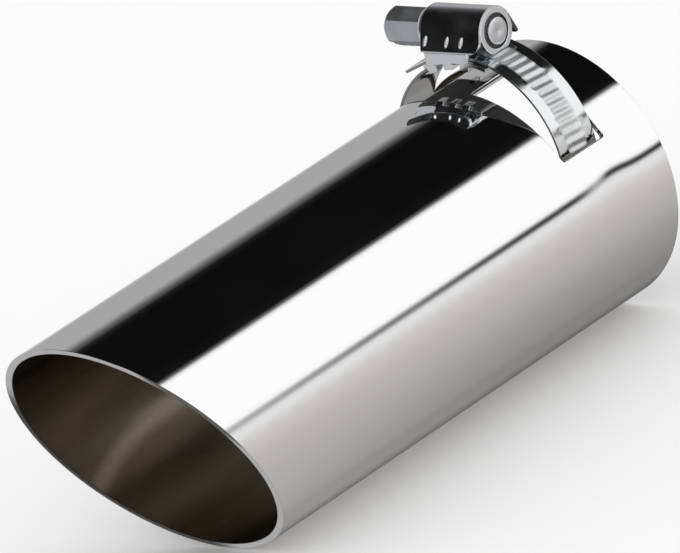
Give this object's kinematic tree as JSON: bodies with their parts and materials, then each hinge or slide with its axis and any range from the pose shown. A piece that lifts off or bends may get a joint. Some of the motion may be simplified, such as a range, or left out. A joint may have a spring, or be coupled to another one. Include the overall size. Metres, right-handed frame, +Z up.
{
  "type": "exhaust tip",
  "caption": "Slash-cut round steel exhaust tip with a worm-drive band clamp through two windows near its inlet, for clamping onto a tail pipe.",
  "frame": {"origin": "centre of the tube's inlet end face, on the tube's axis", "axes": "-Y along the tube from the inlet to the mouth, +Z up through the clamp and the long lip of the slash cut, X to the sides"},
  "size_m": [0.0636, 0.165, 0.0806],
  "materials": {
    "polished_tube": "mirror-polished stainless steel",
    "band_steel": "bright rolled strip",
    "clamp_steel": "bright stamped sheet",
    "screw_steel": "bright zinc plate"
  },
  "bodies": {
    "tip": {"tube": "polished_tube", "band": "band_steel", "saddle": "clamp_steel", "housing": "clamp_steel"},
    "screw": {"worm_screw": "screw_steel"}
  },
  "joints": [
    {"name": "screw_turn", "type": "hinge", "parent": "tip", "child": "screw", "pos_m": [0.0011, -0.0202, 0.0432], "axis": [1, 0, 0], "range_deg": [-2160, 4320], "deforming": ["band"]}
  ]
}
